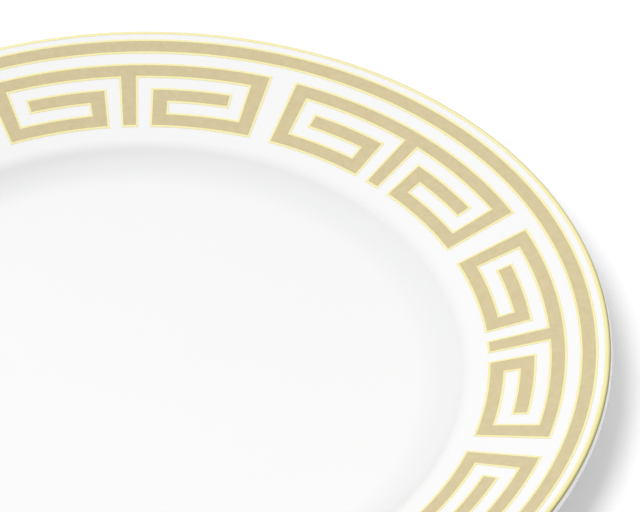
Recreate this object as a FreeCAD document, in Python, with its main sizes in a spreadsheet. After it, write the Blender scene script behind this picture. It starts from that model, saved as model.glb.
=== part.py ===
import FreeCAD, Part
import math
import os
import Sketcher
from FreeCAD import Vector

# China dinner plate, 270 mm across, with a gilt Greek key border.
# Millimetres. +Z is up, Z = 0 is the table, X = Y = 0 is the plate's centre.
# The stem of the first key lies on +Y.

doc = FreeCAD.newDocument("china_dinner_plate")

# ---------------------------------------------------------------- sizes
# Lengths in millimetres, angles in degrees.
SIZES = {
    # biscuit porcelain, before glazing
    "rim_radius": 134.75,
    "rim_width": 40.25,
    "rim_slope": 15,
    "lip_thick": 2.4,
    "well_depth": 15.4,
    "shoulder_slope": 38,
    "floor_thick": 3.7,
    "recess_height": 2.65,
    "rim_under_slope": 16.2,
    "under_flank_slope": 27.9,
    "foot_inset": 3.993,
    "foot_width": 3.0,
    "foot_batter": 1.4,
    "foot_side_height": 2.6,
    "recess_batter": 1.4,
    "floor_round": 16,
    "crest_round": 9,
    "lip_top_round": 1.55,
    "lip_low_round": 0.4,
    "under_round": 8,
    "foot_root_round": 1.5,
    "foot_round": 0.6,
    "recess_round": 1.2,
    # glaze
    "glaze_thick": 0.25,
    "bare_height": 0.45,
    # gold and printed border
    "fill_thick": 0.10,
    "line_thick": 0.12,
    "line_width": 0.65,
    "gilt_width": 1.85,
    "gilt_drop": 0.7,
    "band_margin": 4.45,
    "level_step": 8.6,
    "bar_width": 3.7,
    "stem_half": 1.07,
    "post_near": 3.77,
    "post_far": 6.02,
    "hook_end": 15.53,
    "side_near": 18.24,
    "side_far": 20.44,
    "key_step": 45,
}
KEY_COUNT = 8

sheet = doc.addObject("Spreadsheet::Sheet", "dims")
for row, name in enumerate(SIZES, start=1):
    sheet.set("A%d" % row, name)
    sheet.set("B%d" % row, str(SIZES[name]))
    sheet.setAlias("B%d" % row, name)
doc.recompute()


class Size:
    """A number together with the sheet expression that gives it."""

    def __init__(self, value, text):
        self.value = value
        self.text = text

    def combine(self, other, sign, value):
        other_text = other.text if isinstance(other, Size) else str(other)
        return Size(value, "(%s %s %s)" % (self.text, sign, other_text))

    def __add__(self, other):
        return self.combine(other, "+", self.value + number(other))

    def __sub__(self, other):
        return self.combine(other, "-", self.value - number(other))

    def __mul__(self, other):
        return self.combine(other, "*", self.value * number(other))

    def __truediv__(self, other):
        return self.combine(other, "/", self.value / number(other))


def number(thing):
    return thing.value if isinstance(thing, Size) else thing


def size(name):
    return Size(float(sheet.get(name)), "dims." + name)


def tangent(angle):
    return Size(math.tan(math.radians(angle.value)), "tan(%s * 1 deg)" % angle.text)


def sine(angle):
    return Size(math.sin(math.radians(angle.value)), "sin(%s * 1 deg)" % angle.text)


def cosine(angle):
    return Size(math.cos(math.radians(angle.value)), "cos(%s * 1 deg)" % angle.text)


def smaller(first, second):
    return Size(min(first.value, second.value), "min(%s; %s)" % (first.text, second.text))


def origin_plane(body, role):
    for feature in body.Origin.OriginFeatures:
        if feature.Role == role:
            return feature
    raise ValueError("no plane " + role)


def new_body(name):
    body = doc.addObject("PartDesign::Body", name)
    body.Label = name
    return body


def new_sketch(body, name, role):
    sketch = body.newObject("Sketcher::SketchObject", name)
    sketch.AttachmentSupport = (origin_plane(body, role), [""])
    sketch.MapMode = "FlatFace"
    return sketch


def bind(sketch, constraint, text):
    index = sketch.addConstraint(constraint)
    sketch.setExpression("Constraints[%d]" % index, text)


def section_sketch(body, name, corners):
    """Closed half section in the XZ plane; corners are (radius, height) pairs."""
    sketch = new_sketch(body, name, "XZ_Plane")
    count = len(corners)
    for i in range(count):
        start = corners[i]
        end = corners[(i + 1) % count]
        line = Part.LineSegment(
            Vector(number(start[0]), number(start[1]), 0),
            Vector(number(end[0]), number(end[1]), 0),
        )
        sketch.addGeometry(line)
    for i in range(count):
        sketch.addConstraint(Sketcher.Constraint("Coincident", i, 2, (i + 1) % count, 1))
    for i, (radius, height) in enumerate(corners):
        if number(radius) == 0:
            sketch.addConstraint(Sketcher.Constraint("PointOnObject", i, 1, -2))
        else:
            bind(sketch, Sketcher.Constraint("DistanceX", -1, 1, i, 1, radius.value), radius.text)
        if number(height) == 0:
            sketch.addConstraint(Sketcher.Constraint("PointOnObject", i, 1, -1))
        else:
            bind(sketch, Sketcher.Constraint("DistanceY", -1, 1, i, 1, height.value), height.text)
    return sketch


def turned(body, name, corners):
    """Revolve a half section a full turn about the plate's axis."""
    sketch = section_sketch(body, name + "_section", corners)
    solid = body.newObject("PartDesign::Revolution", name + "_turned")
    solid.Profile = sketch
    solid.ReferenceAxis = (sketch, ["V_Axis"])
    solid.Angle = 360
    doc.recompute()
    sketch.Visibility = False
    return solid


def ring_edge(shape, corner):
    """Name of the circular edge that passes through a corner of the half section."""
    for index, edge in enumerate(shape.Edges, start=1):
        curve = edge.Curve
        if not isinstance(curve, Part.Circle):
            continue
        near_radius = abs(curve.Radius - number(corner[0])) < 1e-4
        near_height = abs(curve.Center.z - number(corner[1])) < 1e-4
        if near_radius and near_height:
            return "Edge%d" % index
    raise ValueError("no circular edge at that corner")


# ---------------------------------------------------------------- biscuit body
# One turned solid: flat well floor, concave shoulder, sloping rim, rounded lip,
# thicker underside at the shoulder, turned foot ring round a shallow recess.
rim_radius = size("rim_radius")
slope = size("rim_slope")
shoulder = size("shoulder_slope")
recess_height = size("recess_height")
floor_height = recess_height + size("floor_thick")
rim_height = floor_height + size("well_depth")
lip_low = rim_height - size("lip_thick")

crest_radius = rim_radius - size("rim_width")
crest_height = rim_height - size("rim_width") * tangent(slope)
shoulder_rise = crest_height - floor_height
shoulder_length = shoulder_rise / sine(shoulder)
floor_radius = crest_radius - shoulder_rise / tangent(shoulder)

# The foot ring stands just inside the edge of the well's floor.
foot_outer = floor_radius - size("foot_inset")
foot_inner = foot_outer - size("foot_width")
foot_root = foot_outer + size("foot_batter")

# The rim's underside and the flank above the foot ring meet at the under corner.
under_rise = tangent(size("rim_under_slope"))
flank_rise = tangent(size("under_flank_slope"))
rim_line = lip_low - rim_radius * under_rise
flank_line = size("foot_side_height") - foot_root * flank_rise
under_radius = (rim_line - flank_line) / (flank_rise - under_rise)
under_height = rim_line + under_radius * under_rise

axis_top = (0, floor_height)
floor_corner = (floor_radius, floor_height)
crest_corner = (crest_radius, crest_height)
lip_top_corner = (rim_radius, rim_height)
lip_low_corner = (rim_radius, lip_low)
under_corner = (under_radius, under_height)
foot_root_corner = (foot_root, size("foot_side_height"))
foot_outer_corner = (foot_outer, 0)
foot_inner_corner = (foot_inner, 0)
recess_corner = (foot_inner - size("recess_batter"), recess_height)
axis_low = (0, recess_height)

# The two rounds of the shoulder share its straight flank, three quarters to the
# wide hollow one and a quarter to the crest, and shrink if the flank gets shorter.
half_turn_floor = shoulder / 2
half_turn_crest = (shoulder - slope) / 2
floor_round = smaller(size("floor_round"), shoulder_length * 0.74 / tangent(half_turn_floor))
crest_round = smaller(size("crest_round"), shoulder_length * 0.25 / tangent(half_turn_crest))

china = new_body("china_body")
china_tip = turned(china, "china", [
    axis_top, floor_corner, crest_corner, lip_top_corner, lip_low_corner, under_corner,
    foot_root_corner, foot_outer_corner, foot_inner_corner, recess_corner, axis_low,
])
ROUNDS = [
    ("round_floor", floor_corner, floor_round),
    ("round_crest", crest_corner, crest_round),
    ("round_lip_top", lip_top_corner, size("lip_top_round")),
    ("round_lip_low", lip_low_corner, size("lip_low_round")),
    ("round_under", under_corner, size("under_round")),
    ("round_foot_root", foot_root_corner, size("foot_root_round")),
    ("round_foot_outer", foot_outer_corner, size("foot_round")),
    ("round_foot_inner", foot_inner_corner, size("foot_round")),
    ("round_recess", recess_corner, size("recess_round")),
]
for name, corner, radius in ROUNDS:
    rounded = china.newObject("PartDesign::Fillet", name)
    rounded.Base = (china_tip, [ring_edge(china_tip.Shape, corner)])
    rounded.Radius = radius.value
    rounded.setExpression("Radius", radius.text)
    doc.recompute()
    china_tip.Visibility = False
    china_tip = rounded
china.Tip = china_tip

# ---------------------------------------------------------------- glaze
# An even skin all over the body, wiped off the foot ring where it stands.
glazed = doc.addObject("Part::Offset", "glazed_outside")
glazed.Source = china
glazed.Value = size("glaze_thick").value
glazed.setExpression("Value", "dims.glaze_thick")
glazed.Mode = 0
glazed.Join = 0

wiped = doc.addObject("Part::Cylinder", "wiped_zone")
wiped.Radius = 100
wiped.setExpression("Radius", crest_radius.text)
wiped.Height = 2
wiped.setExpression("Height", "dims.bare_height + 1")
wiped.setExpression("Placement.Base.z", "-1")

# The bare foot ring parts the glaze in two: the outside, and the floor of the recess.
recess_zone = doc.addObject("Part::Cylinder", "recess_zone")
recess_zone.Radius = 83
recess_zone.setExpression("Radius", ((foot_outer + foot_inner) / 2).text)
recess_zone.Height = 5
recess_zone.setExpression("Height", ((recess_height + floor_height) / 2 + 1).text)
recess_zone.setExpression("Placement.Base.z", "-1")


def boolean(kind, name, base, tool):
    result = doc.addObject("Part::" + kind, name)
    result.Label = name
    result.Base = base
    result.Tool = tool
    return result


glaze_skin = boolean("Cut", "glaze_skin", glazed, china)
glaze_skin_wiped = boolean("Cut", "glaze_skin_wiped", glaze_skin, wiped)
glaze_coat = boolean("Cut", "glaze_coat", glaze_skin_wiped, recess_zone)
base_glaze = boolean("Common", "base_glaze", glaze_skin_wiped, recess_zone)
doc.recompute()

# ---------------------------------------------------------------- lip gilding
# Gold over the glaze from the rim face over the top of the lip, down to its outer side.
# A skin follows the lip's round in short straight steps that touch the glaze, and runs
# on along the rim's face; the gilding is what lies between its two edges.
def face_height(radius):
    lift = size("glaze_thick") / cosine(slope)
    return rim_height + lift - (rim_radius - radius) * tangent(slope)


GILT_STEPS = 16
lip_middle = rim_radius - size("lip_top_round")
lip_centre = rim_height - size("lip_top_round") * tangent(slope)
lip_centre = lip_centre - size("lip_top_round") / cosine(slope)
gilt_step = (slope + 90) / GILT_STEPS
under_gilt = size("lip_top_round") + size("glaze_thick")
over_gilt = under_gilt + size("line_thick")
gilt_end = rim_radius - size("band_margin") + size("line_width")


def round_lip(reach):
    """Points round the lip, from its outer side to where the face begins."""
    points = [(lip_middle + reach, lip_centre)]
    for i in range(GILT_STEPS):
        angle = gilt_step * (i + 0.5)
        corner = reach / cosine(gilt_step / 2)
        points.append((lip_middle + corner * cosine(angle), lip_centre + corner * sine(angle)))
    return points


gilt_skin = new_body("gilt_skin")
turned(
    gilt_skin, "gilt_skin",
    round_lip(under_gilt)
    + [(gilt_end, face_height(gilt_end)),
       (gilt_end, face_height(gilt_end) + size("line_thick") / cosine(slope))]
    + round_lip(over_gilt)[::-1])

gilt_zone = new_body("gilt_zone")
gilt_start = rim_radius - size("gilt_width")
gilt_low = rim_height - size("gilt_drop")
turned(gilt_zone, "gilt_zone", [
    (gilt_start, gilt_low),
    (rim_radius + 3, gilt_low),
    (rim_radius + 3, rim_height + 3),
    (gilt_start, rim_height + 3),
])
lip_gilding = boolean("Common", "lip_gilding", gilt_skin, gilt_zone)
doc.recompute()

# ---------------------------------------------------------------- printed rings
# Each ring is a thin slice of the rim's cone lying on the glaze.
def cone_slice(name, inner, outer, thickness):
    body = new_body(name)
    rise = thickness / cosine(slope)
    turned(body, name, [
        (inner, face_height(inner)),
        (outer, face_height(outer)),
        (outer, face_height(outer) + rise),
        (inner, face_height(inner) + rise),
    ])
    return body


band_edge = rim_radius - size("band_margin")
bar_width = size("bar_width")
line_width = size("line_width")
step = size("level_step")
band_low = band_edge - bar_width

border_band = cone_slice("border_band", band_low, band_edge, size("fill_thick"))
band_outer_line = cone_slice(
    "band_outer_line", band_edge, band_edge + line_width, size("line_thick"))
band_inner_line = cone_slice(
    "band_inner_line", band_low - line_width, band_low, size("line_thick"))

# ---------------------------------------------------------------- Greek key motif
# The outline of one key, walked once round. Every side is either an arc about the
# plate's axis ("arc", radius) or lies on a ray from it ("ray", angle from the stem).
# The last number is the way the side moves when the outline is grown: +1 up, -1 down.
top_out = band_edge - step
top_in = top_out - bar_width
mid_out = top_out - step
mid_in = mid_out - bar_width
low_out = mid_out - step
low_in = low_out - bar_width
RIGHT_HALF = [
    ("ray", size("side_far"), 1),
    ("arc", low_in, -1),
    ("ray", size("post_near"), -1),
    ("arc", mid_out, 1),
    ("ray", size("hook_end"), 1),
    ("arc", mid_in, -1),
    ("ray", size("post_far"), 1),
    ("arc", low_out, 1),
    ("ray", size("side_near"), -1),
    ("arc", top_in, -1),
    ("ray", size("stem_half"), 1),
]
LEFT_HALF = [
    (kind, place * -1 if kind == "ray" else place, -way if kind == "ray" else way)
    for kind, place, way in reversed(RIGHT_HALF)
]
KEY_SIDES = [("arc", top_out, 1)] + RIGHT_HALF + [("arc", low_in, -1)] + LEFT_HALF


def grown(side, by):
    kind, place, way = side
    if by is None:
        return kind, place
    if kind == "ray":
        by = by / mid_out * 57.29578
    return kind, (place + by if way > 0 else place - by)


def key_solid(name, by):
    """Body that holds the key's outline, padded straight up through the rim."""
    body = new_body(name)
    sketch = new_sketch(body, name + "_outline", "XY_Plane")
    sides = [grown(side, by) for side in KEY_SIDES]
    count = len(sides)
    for i, (kind, place) in enumerate(sides):
        before = sides[i - 1][1].value
        after = sides[(i + 1) % count][1].value
        if kind == "arc":
            low = math.radians(90 - max(before, after))
            high = math.radians(90 - min(before, after))
            circle = Part.Circle(Vector(0, 0, 0), Vector(0, 0, 1), place.value)
            sketch.addGeometry(Part.ArcOfCircle(circle, low, high))
        else:
            turn = math.radians(90 - place.value)
            ray = Vector(math.cos(turn), math.sin(turn), 0)
            sketch.addGeometry(Part.LineSegment(ray * before, ray * after))
    for i, (kind, place) in enumerate(sides):
        j = (i + 1) % count
        if kind == "arc":
            # arcs run anticlockwise, so the end nearer the next ray depends on its side
            end = 1 if sides[j][1].value > sides[i - 1][1].value else 2
            sketch.addConstraint(Sketcher.Constraint("Coincident", i, 3, -1, 1))
            sketch.addConstraint(Sketcher.Constraint("Coincident", i, end, j, 1))
        else:
            end = 2 if sides[(j + 1) % count][1].value > place.value else 1
            sketch.addConstraint(Sketcher.Constraint("Coincident", i, 2, j, end))
    for i, (kind, place) in enumerate(sides):
        if kind == "arc":
            bind(sketch, Sketcher.Constraint("Radius", i, place.value), place.text)
        else:
            outward = sides[(i + 1) % count][1].value > sides[i - 1][1].value
            start = 1 if outward else 2
            turn = math.radians(90 - place.value)
            sketch.addConstraint(Sketcher.Constraint("PointOnObject", -1, 1, i))
            bind(
                sketch,
                Sketcher.Constraint("Angle", -1, 1, i, start, turn),
                "90 deg - %s * 1 deg" % place.text,
            )
    doc.recompute()
    pad = body.newObject("PartDesign::Pad", name + "_pad")
    pad.Profile = sketch
    pad.Length = 30
    pad.setExpression("Length", (rim_height + 5).text)
    doc.recompute()
    sketch.Visibility = False
    return body


fill_skin = cone_slice("fill_skin", low_in - 2, band_low - 2, size("fill_thick"))
line_skin = cone_slice("line_skin", low_in - 2, band_low - 2, size("line_thick"))
key_blank = key_solid("key_blank", None)
key_wide = key_solid("key_wide", line_width)
key_edge = boolean("Cut", "key_edge", key_wide, key_blank)
doc.recompute()


def key_copy(name, skin, shape, index):
    """One motif cut from a skin of the rim, turned clockwise into its place."""
    motif = boolean("Common", name, skin, shape)
    motif.Placement = FreeCAD.Placement(Vector(0, 0, 0), FreeCAD.Rotation(Vector(0, 0, 1), 1))
    motif.setExpression("Placement.Rotation.Angle", "%d * dims.key_step * 1 deg" % -index)
    return motif


key_fills = [key_copy("key_fill_%d" % (i + 1), fill_skin, key_blank, i) for i in range(KEY_COUNT)]
key_lines = [key_copy("key_line_%d" % (i + 1), line_skin, key_edge, i) for i in range(KEY_COUNT)]
doc.recompute()

# ---------------------------------------------------------------- check and write
for item in doc.Objects:
    if "Invalid" in item.State or "Error" in item.State:
        raise RuntimeError("%s did not compute: %s" % (item.Label, item.State))

nodes = [china, glaze_coat, base_glaze, lip_gilding]
nodes += [border_band, band_outer_line, band_inner_line]
nodes += key_fills + key_lines
os.makedirs("parts", exist_ok=True)
for node in nodes:
    shape = node.Shape
    if shape.isNull() or not shape.isValid():
        raise RuntimeError(node.Label + " has no valid shape")
    if len(shape.Solids) != 1:
        raise RuntimeError("%s has %d solids" % (node.Label, len(shape.Solids)))
    solid = shape.Solids[0]
    solid.exportStep("parts/%s.step" % node.Label)
    box = solid.BoundBox
    print("%-16s %10.2f mm3  x %.2f %.2f  y %.2f %.2f  z %.2f %.2f" % (
        node.Label, solid.Volume, box.XMin, box.XMax, box.YMin, box.YMax, box.ZMin, box.ZMax))
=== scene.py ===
import math
import bmesh
import bpy
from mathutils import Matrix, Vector


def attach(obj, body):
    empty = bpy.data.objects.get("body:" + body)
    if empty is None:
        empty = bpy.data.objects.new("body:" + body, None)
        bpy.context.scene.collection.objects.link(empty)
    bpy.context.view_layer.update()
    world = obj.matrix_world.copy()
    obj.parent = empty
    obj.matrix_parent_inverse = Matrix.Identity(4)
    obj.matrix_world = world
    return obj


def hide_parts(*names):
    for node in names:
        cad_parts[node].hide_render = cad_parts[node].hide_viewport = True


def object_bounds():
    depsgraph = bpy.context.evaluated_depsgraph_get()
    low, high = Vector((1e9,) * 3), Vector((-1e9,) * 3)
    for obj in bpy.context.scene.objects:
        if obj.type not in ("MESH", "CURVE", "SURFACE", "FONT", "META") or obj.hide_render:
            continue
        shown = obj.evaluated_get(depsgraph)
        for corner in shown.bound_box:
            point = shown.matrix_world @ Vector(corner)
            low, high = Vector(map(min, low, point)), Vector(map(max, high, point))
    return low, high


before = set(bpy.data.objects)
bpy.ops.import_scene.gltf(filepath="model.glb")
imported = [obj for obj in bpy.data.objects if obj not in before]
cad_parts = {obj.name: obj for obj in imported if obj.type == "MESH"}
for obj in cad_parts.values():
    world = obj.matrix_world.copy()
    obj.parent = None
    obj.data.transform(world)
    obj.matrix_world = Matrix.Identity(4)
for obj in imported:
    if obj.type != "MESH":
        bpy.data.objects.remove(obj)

cad_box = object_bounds()


# Porcelain body. One piece of hard white porcelain, turned on a wheel: a flat well, a
# hollow shoulder, a sloping rim and a round lip, on a foot ring. It is fired biscuit
# under the glaze, and it shows bare only where the foot ring stands on the table.
TURNS = 320
SAME_PLACE = 2e-6


def start_chain(name, corner):
    """One vertex at a (radius, height) corner of the section, ready to extrude."""
    bpy.ops.object.select_all(action="DESELECT")
    bpy.ops.mesh.primitive_plane_add(size=0.001, location=(0, 0, 0))
    piece = bpy.context.object
    piece.name = name
    piece.data.name = name
    bpy.ops.object.mode_set(mode="EDIT")
    bpy.ops.mesh.select_all(action="SELECT")
    bpy.ops.mesh.merge(type="CENTER")
    bpy.ops.transform.translate(value=(corner[0], 0, corner[1]))
    return piece


def draw_section(name, corners, closed=False):
    """A chain of edges through the section's corners, in the XZ plane."""
    piece = start_chain(name, corners[0])
    for before, after in zip(corners, corners[1:]):
        step = (after[0] - before[0], 0, after[1] - before[1])
        bpy.ops.mesh.extrude_vertices_move(TRANSFORM_OT_translate={"value": step})
    if closed:
        pick_points(piece, [corners[0], corners[-1]])
        bpy.ops.mesh.edge_face_add()
    return piece


def pick_points(piece, corners):
    """Selects the section's vertices at these (radius, height) places."""
    bpy.ops.mesh.select_all(action="DESELECT")
    shape = bmesh.from_edit_mesh(piece.data)
    for vertex in shape.verts:
        radius = math.hypot(vertex.co.x, vertex.co.y)
        for corner in corners:
            same_radius = abs(radius - corner[0]) < SAME_PLACE
            same_height = abs(vertex.co.z - corner[1]) < SAME_PLACE
            if same_radius and same_height:
                vertex.select_set(True)
    shape.select_flush_mode()
    bmesh.update_edit_mesh(piece.data)


def round_corner(piece, corner, reach, steps):
    """Rounds one corner of the section, starting that far from it on each side."""
    pick_points(piece, [corner])
    bpy.ops.mesh.bevel(offset_type="OFFSET", offset=reach, segments=steps, profile=0.5,
                       affect="VERTICES")


def throw_on_wheel(piece):
    """Turns the section into a solid of revolution about the plate's axis."""
    bpy.ops.mesh.select_all(action="SELECT")
    bpy.ops.mesh.spin(steps=TURNS, angle=2 * math.pi, center=(0, 0, 0), axis=(0, 0, 1))
    bpy.ops.mesh.select_all(action="SELECT")
    bpy.ops.mesh.remove_doubles(threshold=SAME_PLACE)
    bpy.ops.mesh.select_all(action="SELECT")
    bpy.ops.mesh.normals_make_consistent(inside=False)
    bpy.ops.object.mode_set(mode="OBJECT")


def take_up(piece):
    """Makes this the one piece that the next step works on."""
    bpy.ops.object.select_all(action="DESELECT")
    piece.select_set(True)
    bpy.context.view_layer.objects.active = piece


def smooth(piece, angle):
    """Shades it smooth, and keeps the edges that turn by more degrees than that."""
    take_up(piece)
    bpy.ops.object.shade_smooth_by_angle(angle=math.radians(angle))


def thicken(piece, thickness, side):
    """Gives a sheet its thickness, inward (-1) or outward (1)."""
    take_up(piece)
    wall = piece.modifiers.new("wall", "SOLIDIFY")
    wall.thickness = thickness
    wall.offset = side
    wall.use_even_offset = True
    wall.use_quality_normals = True
    bpy.ops.object.modifier_apply(modifier=wall.name)


class Batch:
    """A number or colour being mixed for a finish; sums on it lay down the nodes."""

    def __init__(self, tree, socket=None):
        self.tree = tree
        self.socket = socket

    def node(self, kind, settings, inputs, output=0):
        made = self.tree.nodes.new(kind)
        for key, value in settings.items():
            setattr(made, key, value)
        for key, value in inputs.items():
            if isinstance(value, Batch):
                self.tree.links.new(value.socket, made.inputs[key])
            else:
                made.inputs[key].default_value = value
        return Batch(self.tree, made.outputs[output])

    def math(self, operation, first, second):
        return self.node("ShaderNodeMath", {"operation": operation}, {0: first, 1: second})

    def __add__(self, other):
        return self.math("ADD", self, other)

    def __radd__(self, other):
        return self.math("ADD", other, self)

    def __sub__(self, other):
        return self.math("SUBTRACT", self, other)

    def __mul__(self, other):
        return self.math("MULTIPLY", self, other)

    def __rmul__(self, other):
        return self.math("MULTIPLY", other, self)

    def between(self, low, high):
        """0 below low, 1 above high, and a smooth rise from one to the other."""
        return self.node("ShaderNodeMapRange", {"interpolation_type": "SMOOTHSTEP"},
                         {"Value": self, "From Min": low, "From Max": high})

    def noise(self, places, scale, detail=2.0, roughness=0.5):
        return self.node("ShaderNodeTexNoise", {},
                         {"Vector": places, "Scale": scale, "Detail": detail,
                          "Roughness": roughness})

    def mix(self, share, first, second):
        """One colour laid over another by that share."""
        return self.node("ShaderNodeMix", {"data_type": "RGBA"},
                         {"Factor": share, 6: first, 7: second}, output=2)

    def from_axis(self, places):
        """How far each place is from the plate's axis."""
        across = self.node("ShaderNodeVectorMath", {"operation": "MULTIPLY"},
                           {0: places, 1: (1, 1, 0)})
        return self.node("ShaderNodeVectorMath", {"operation": "LENGTH"}, {0: across},
                         output=1)

    def bump(self, height, strength, distance):
        return self.node("ShaderNodeBump", {},
                         {"Height": height, "Strength": strength, "Distance": distance})


def new_finish(name):
    """A new material, its working batch, its shader and the places on the piece."""
    finish = bpy.data.materials.new(name)
    finish.use_nodes = True
    tree = finish.node_tree
    shader = tree.nodes["Principled BSDF"]
    batch = Batch(tree)
    places = batch.node("ShaderNodeTexCoord", {}, {}, output=3)
    return finish, batch, shader, places


def feed(batch, shader, socket, value):
    batch.tree.links.new(value.socket, shader.inputs[socket])


def clothe(piece, finish):
    piece.data.materials.clear()
    piece.data.materials.append(finish)


LIP_MIDDLE = (0.1332, 0.01973)
BODY_LIP = 0.00155
GLAZED_LIP = 0.0018


def lip_arc(radius, start, end, steps):
    """Points of an arc about the middle of the lip's round, angles in degrees."""
    points = []
    for step in range(steps + 1):
        angle = math.radians(start + (end - start) * step / steps)
        points.append((LIP_MIDDLE[0] + radius * math.cos(angle),
                       LIP_MIDDLE[1] + radius * math.sin(angle)))
    return points


body_section = [
    (0.0, 0.00635), (0.030, 0.00635), (0.060, 0.00635), (0.08853, 0.00635),
    (0.0945, 0.010965), (0.105, 0.013778), (0.115, 0.016458), (0.125, 0.019137),
    *lip_arc(BODY_LIP, 105, 0, 14),
    (0.13475, 0.01935), (0.120, 0.015065), (0.09683, 0.008334),
    (0.0860, 0.0026), (0.0846, 0.0), (0.0816, 0.0), (0.0802, 0.00265),
    (0.050, 0.00265), (0.0, 0.00265),
]
body = draw_section("porcelain_body", body_section)
round_corner(body, (0.08853, 0.00635), 0.0055, 12)
round_corner(body, (0.0945, 0.010965), 0.0018, 8)
round_corner(body, (0.13475, 0.01935), 0.0002, 5)
round_corner(body, (0.09683, 0.008334), 0.0008, 6)
round_corner(body, (0.0860, 0.0026), 0.0004, 4)
round_corner(body, (0.0846, 0.0), 0.0003, 4)
round_corner(body, (0.0816, 0.0), 0.0003, 4)
round_corner(body, (0.0802, 0.00265), 0.0007, 5)
throw_on_wheel(body)
smooth(body, 35)

biscuit, batch, shader, places = new_finish("biscuit_porcelain")
grain = batch.noise(places, 1400.0, 3.0)
stain = batch.noise(places, 60.0, 2.0)
bare = batch.mix(stain.between(0.35, 0.8), (0.80, 0.775, 0.72, 1), (0.72, 0.68, 0.61, 1))
feed(batch, shader, "Base Color", batch.mix(grain * 0.25, bare, (0.60, 0.56, 0.50, 1)))
feed(batch, shader, "Roughness", 0.62 + 0.2 * grain)
feed(batch, shader, "Normal", batch.bump(grain, 0.35, 0.0002))
clothe(body, biscuit)
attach(body, "root")
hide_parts("china_body")


# Glaze. A clear glossy skin a quarter of a millimetre thick, dipped over the whole
# body and fired on. It ends above the foot ring. A grey ring round the hollow shoulder
# is painted shade.
GLAZE_THICK = 0.00025
glaze_section = [
    (0.0, 0.0066), (0.030, 0.0066), (0.060, 0.0066), (0.08853, 0.0066),
    (0.0944, 0.01119), (0.105, 0.014037), (0.115, 0.016717), (0.125, 0.019396),
    *lip_arc(GLAZED_LIP, 105, 0, 18),
    (0.1350, 0.019162), (0.120, 0.014805), (0.09692, 0.008099),
    (0.08618, 0.00241), (0.085126, 0.00045),
]
glaze = draw_section("glaze_coat", glaze_section)
round_corner(glaze, (0.08853, 0.0066), 0.0055, 14)
round_corner(glaze, (0.0944, 0.01119), 0.0018, 8)
round_corner(glaze, (0.1350, 0.019162), 0.000488, 6)
round_corner(glaze, (0.09692, 0.008099), 0.0008, 6)
round_corner(glaze, (0.08618, 0.00241), 0.0004, 4)
throw_on_wheel(glaze)
thicken(glaze, GLAZE_THICK, -1)
smooth(glaze, 35)

white, batch, shader, places = new_finish("white_glaze")
radius = batch.from_axis(places)
# Painted shade: the hollow shoulder of the well is greyed all round, darker where shade
# falls in the well.
shoulder_painted_shade = radius.between(0.080, 0.0885) - radius.between(0.091, 0.097)
cloud = batch.noise(places, 22.0, 3.0)
peel = batch.noise(places, 420.0, 2.0)
milk = batch.mix(cloud, (0.855, 0.86, 0.86, 1), (0.87, 0.87, 0.865, 1))
feed(batch, shader, "Base Color", batch.mix(shoulder_painted_shade * 0.5, milk, (0.745, 0.75, 0.755, 1)))
feed(batch, shader, "Roughness", 0.05 + 0.06 * cloud)
feed(batch, shader, "Normal", batch.bump(cloud * 2.0 + peel * 0.05, 0.10, 0.001))
shader.inputs["IOR"].default_value = 1.52
shader.inputs["Coat Weight"].default_value = 0.5
shader.inputs["Coat Roughness"].default_value = 0.03
clothe(glaze, white)
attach(glaze, "root")
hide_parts("glaze_coat")


# Glaze inside the foot ring. The same dip, but parted from the rest by the ring of
# bare porcelain that was wiped clean so that the plate didn't stick in the kiln.
base_section = [
    (0.0, 0.0024), (0.030, 0.0024), (0.060, 0.0024), (0.08005, 0.0024), (0.08102, 0.00058),
]
base = draw_section("base_glaze", base_section)
round_corner(base, (0.08005, 0.0024), 0.0008, 6)
throw_on_wheel(base)
thicken(base, GLAZE_THICK, -1)
smooth(base, 35)
clothe(base, white)
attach(base, "root")
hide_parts("base_glaze")


# Lip gilding. A line of bright liquid gold banded on with a brush while the plate
# turned on a wheel. It goes from the face round the lip and stops on its outside.
GOLD_THICK = 0.00012
gilding = draw_section("lip_gilding", lip_arc(GLAZED_LIP, 99.6, 47.4, 16))
throw_on_wheel(gilding)
thicken(gilding, GOLD_THICK, 1)
smooth(gilding, 50)

bright, batch, shader, places = new_finish("bright_gold")
brushed = batch.node("ShaderNodeVectorMath", {"operation": "MULTIPLY"},
                     {0: places, 1: (1, 1, 8)})
stroke = batch.noise(brushed, 300.0, 3.0)
blush = batch.noise(places, 45.0, 2.0)
gilt = batch.mix(blush, (0.97, 0.89, 0.42, 1), (1.0, 0.94, 0.54, 1))
radius = batch.from_axis(places)
# Painted reflection: the outermost edge of the lip gold is painted deep olive, standing in
# for the dark shaded table that it mirrors.
lip_edge_painted_reflection = radius.between(0.1339, 0.1345)
feed(batch, shader, "Base Color", batch.mix(lip_edge_painted_reflection * 0.9, gilt, (0.50, 0.41, 0.12, 1)))
feed(batch, shader, "Roughness", 0.14 + 0.14 * stroke)
feed(batch, shader, "Normal", batch.bump(stroke, 0.12, 0.0002))
shader.inputs["Metallic"].default_value = 0.75
clothe(gilding, bright)
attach(gilding, "root")
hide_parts("lip_gilding")


# Border band. A plain ring of satin gold, printed on the glaze and fired on. It is
# matt beside the bright lines, with the faint mottle of the printed powder.
RIM_SLOPE = 15
RIM_EDGE = (0.135, 0.022076)
PRINT_THICK = 0.0001
BAND_INNER = 0.1266
BAND_OUTER = 0.1303
face_slope = math.tan(math.radians(RIM_SLOPE))
cone_foot = RIM_EDGE[1] - RIM_EDGE[0] * face_slope


def on_face(radius, lift=0.0):
    """The height of the glazed rim at that radius, and so much above it."""
    return cone_foot + radius * face_slope + lift


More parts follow.
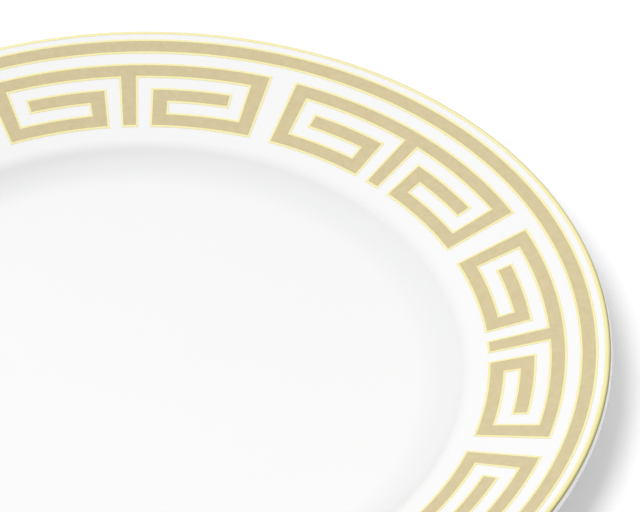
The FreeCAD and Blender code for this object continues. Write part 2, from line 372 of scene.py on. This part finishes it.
def lay_ring(name, inner, outer, thickness, crown):
    """A ring lying on the rim's face, with a crown along its middle."""
    middle = (inner + outer) / 2
    ring = draw_section(name, [
        (inner, on_face(inner)), (outer, on_face(outer)),
        (outer, on_face(outer, thickness)),
        (middle, on_face(middle, thickness + crown)), (inner, on_face(inner, thickness)),
    ], closed=True)
    throw_on_wheel(ring)
    smooth(ring, 50)
    return ring


band = lay_ring("border_band", BAND_INNER, BAND_OUTER, PRINT_THICK, 0.0)
satin, batch, shader, places = new_finish("satin_gold")
powder = batch.noise(places, 900.0, 3.0)
mottle = batch.noise(places, 480.0, 4.0, 0.6)
wash = batch.noise(places, 30.0, 2.0)
tone = batch.mix(mottle.between(0.3, 0.7),
                 (0.67, 0.573, 0.338, 1), (0.725, 0.625, 0.38, 1))
tone = batch.mix(wash.between(0.3, 0.8) * 0.3, tone, (0.73, 0.61, 0.36, 1))
feed(batch, shader, "Base Color", batch.mix(powder * 0.12, tone, (0.62, 0.53, 0.30, 1)))
feed(batch, shader, "Roughness", 0.48 + 0.18 * powder)
feed(batch, shader, "Normal", batch.bump(powder, 0.15, 0.0001))
shader.inputs["Metallic"].default_value = 0.35
clothe(band, satin)
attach(band, "root")
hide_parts("border_band")


# Band lines. Two thin bright gold lines that edge the band, standing up a little, as
# raised gold does, with a rounded top that catches the light from every side.
LINE = 0.00065
GOLD_CROWN = 0.00003
for name, inner, outer in (("band_outer_line", BAND_OUTER, BAND_OUTER + LINE),
                           ("band_inner_line", BAND_INNER - LINE, BAND_INNER)):
    line = lay_ring(name, inner, outer, GOLD_THICK, GOLD_CROWN)
    clothe(line, bright)
    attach(line, "root")
    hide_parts(name)


# Greek keys. Eight equal motifs, each one printed transfer: satin gold bars with a
# bright gold line right round their edge, slid onto the glaze and fired on.
BAR = 0.0037
TOP = 0.1217
MIDDLE = 0.1131
LOW = 0.1045
STEM = 1.07
POST_NEAR = 3.77
POST_FAR = 6.02
HOOK_END = 15.53
SIDE_NEAR = 18.24
SIDE_FAR = 20.44
key_bars = [
    (TOP - BAR, TOP, -SIDE_FAR, SIDE_FAR),
    (LOW - BAR, TOP - BAR, -STEM, STEM),
]
for side in (-1, 1):
    for inner, outer, near, far in (
        (LOW - BAR, TOP - BAR, SIDE_NEAR, SIDE_FAR),
        (LOW - BAR, LOW, POST_NEAR, SIDE_FAR),
        (LOW - BAR, MIDDLE, POST_NEAR, POST_FAR),
        (MIDDLE - BAR, MIDDLE, POST_NEAR, HOOK_END),
    ):
        key_bars.append((inner, outer, *sorted((side * near, side * far))))
WIDE = math.degrees(LINE / MIDDLE)


def off_the_bars(radius, angle):
    """How far a place on the rim lies from the nearest bar of the key, in metres."""
    gaps = []
    for inner, outer, first, last in key_bars:
        gap_out = max(inner - radius, radius - outer)
        gap_round = max(first - angle, angle - last) / WIDE * LINE
        gaps.append(max(gap_out, gap_round))
    return min(gaps)


rows = set()
for edge in (LOW - BAR, MIDDLE - BAR, TOP - BAR):
    rows.update((edge - LINE, edge - LINE / 2, edge))
for edge in (LOW, MIDDLE, TOP):
    rows.update((edge, edge + LINE / 2, edge + LINE))
columns = set()
for edge, way in ((STEM, 1), (POST_NEAR, -1), (POST_FAR, 1), (HOOK_END, 1),
                  (SIDE_NEAR, -1), (SIDE_FAR, 1)):
    for share in (0.0, 0.5, 1.0):
        place = edge + way * share * WIDE
        columns.update((-place, place))
rows = sorted(rows)
columns = sorted(columns)


def place_of(point):
    """Radius, and angle in degrees clockwise from +Y."""
    return math.hypot(point.x, point.y), math.degrees(math.atan2(point.x, point.y))


STEP_DEGREES = 0.8
start = math.radians(columns[0])
sheet = start_chain("key_sheet", (0, 0))
bpy.ops.transform.translate(
    value=(rows[0] * math.sin(start), rows[0] * math.cos(start), on_face(rows[0])))
for before, after in zip(rows, rows[1:]):
    out = after - before
    step = (out * math.sin(start), out * math.cos(start), out * face_slope)
    bpy.ops.mesh.extrude_vertices_move(TRANSFORM_OT_translate={"value": step})
bpy.ops.mesh.select_all(action="SELECT")
for before, after in zip(columns, columns[1:]):
    turn = after - before
    steps = max(1, math.ceil(turn / STEP_DEGREES))
    bpy.ops.mesh.spin(steps=steps, angle=math.radians(turn), center=(0, 0, 0),
                      axis=(0, 0, 1), use_auto_merge=False)
bpy.ops.object.mode_set(mode="OBJECT")


def cut_out(name, low, high):
    """The part of the sheet that lies between two distances from the bars."""
    take_up(sheet)
    bpy.ops.object.duplicate()
    piece = bpy.context.object
    piece.name = name
    piece.data.name = name
    bpy.ops.object.mode_set(mode="EDIT")
    bpy.ops.mesh.select_all(action="DESELECT")
    shape = bmesh.from_edit_mesh(piece.data)
    for face in shape.faces:
        gap = off_the_bars(*place_of(face.calc_center_median()))
        if not low < gap < high:
            face.select_set(True)
    bmesh.update_edit_mesh(piece.data)
    bpy.ops.mesh.delete(type="FACE")
    bpy.ops.mesh.select_all(action="SELECT")
    bpy.ops.mesh.normals_make_consistent(inside=False)
    shape = bmesh.from_edit_mesh(piece.data)
    shape.faces.ensure_lookup_table()
    if shape.faces[0].normal.z < 0:
        bpy.ops.mesh.flip_normals()
    bpy.ops.object.mode_set(mode="OBJECT")
    return piece


fill = cut_out("key_fill", -1.0, 0.0)
thicken(fill, PRINT_THICK, 1)
smooth(fill, 35)
line = cut_out("key_line", 0.0, LINE)
thicken(line, GOLD_THICK, 1)
bpy.ops.object.mode_set(mode="EDIT")
bpy.ops.mesh.select_all(action="DESELECT")
shape = bmesh.from_edit_mesh(line.data)
for vertex in shape.verts:
    radius, angle = place_of(vertex.co)
    middle = abs(off_the_bars(radius, angle) - LINE / 2) < 0.00005
    if middle and vertex.co.z > on_face(radius, GOLD_THICK / 2):
        vertex.select_set(True)
shape.select_flush_mode()
bmesh.update_edit_mesh(line.data)
bpy.ops.transform.translate(value=(0, 0, GOLD_CROWN))
bpy.ops.object.mode_set(mode="OBJECT")
smooth(line, 50)

KEYS = 8
KEY_STEP = 45
for number in range(KEYS):
    for kind, first, finish, place in (("key_fill", fill, satin, "satin_gold"),
                                       ("key_line", line, bright, "bright_gold")):
        name = "%s_%d" % (kind, number + 1)
        take_up(first)
        bpy.ops.object.duplicate()
        key = bpy.context.object
        key.name = name
        key.data.name = name
        key.rotation_euler = (0, 0, -math.radians(KEY_STEP * number))
        bpy.ops.object.transform_apply(location=True, rotation=True, scale=True)
        clothe(key, finish)
        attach(key, "root")
        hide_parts(name)
for spare in (sheet, fill, line):
    bpy.data.objects.remove(spare, do_unlink=True)


# The studio. A plain pale table under the plate, a pale room that is brighter behind
# and overhead, and a soft lamp high in front on the left. The lamp is polarised, so
# that the glaze and the gold mirror the room alone.
low = cad_box[0]
bpy.ops.mesh.primitive_plane_add(size=8, location=(0, 0, low[2]))
table = bpy.context.object
table.name = "table"
top, batch, shader, places = new_finish("pale_table")
shader.inputs["Base Color"].default_value = (0.93, 0.93, 0.935, 1)
shader.inputs["Roughness"].default_value = 0.8
shader.inputs["Emission Color"].default_value = (1, 1, 1, 1)
shader.inputs["Emission Strength"].default_value = 0.07
clothe(table, top)

room = bpy.data.worlds.new("pale_room")
room.use_nodes = True
walls = Batch(room.node_tree)
way = walls.node("ShaderNodeTexCoord", {}, {}, output=0)
behind = walls.node("ShaderNodeVectorMath", {"operation": "DOT_PRODUCT"},
                    {0: way, 1: (-0.20, 0.68, 0.70)}, output=1)
room_light = 0.45 + 0.50 * behind.between(0.40, 0.92)
backdrop = room.node_tree.nodes["Background"]
backdrop.inputs["Color"].default_value = (1, 1, 1, 1)
walls.tree.links.new(room_light.socket, backdrop.inputs["Strength"])
bpy.context.scene.world = room


def softbox(name, place, aim, width, power):
    """A round soft lamp at a place, turned to face its aim."""
    bpy.ops.object.light_add(type="AREA", location=place)
    lamp = bpy.context.object
    lamp.name = name
    lamp.data.shape = "DISK"
    lamp.data.size = width
    lamp.data.energy = power
    lamp.rotation_euler = (Vector(aim) - Vector(place)).to_track_quat("-Z", "Y").to_euler()
    return lamp


key = softbox("key_light", (-0.56, -0.73, 1.8), (0, 0, 0), 0.8, 21.5)
key.visible_glossy = False

# The camera stands in front and above, with a long lens, and looks to the right of
# the plate's centre, so that the plate runs out of the view on the left.
bpy.ops.object.camera_add(location=(0.008448, -0.971989, 0.946247))
camera = bpy.context.object
camera.name = "camera"
camera.data.sensor_width = 36
camera.data.lens = 266.78
camera.data.clip_start = 0.05
camera.data.clip_end = 50
look = Vector((0.053839, 0.030515, 0.022076)) - camera.location
camera.rotation_euler = look.to_track_quat("-Z", "Y").to_euler()
bpy.context.scene.camera = camera
bpy.context.scene.view_settings.view_transform = "Standard"
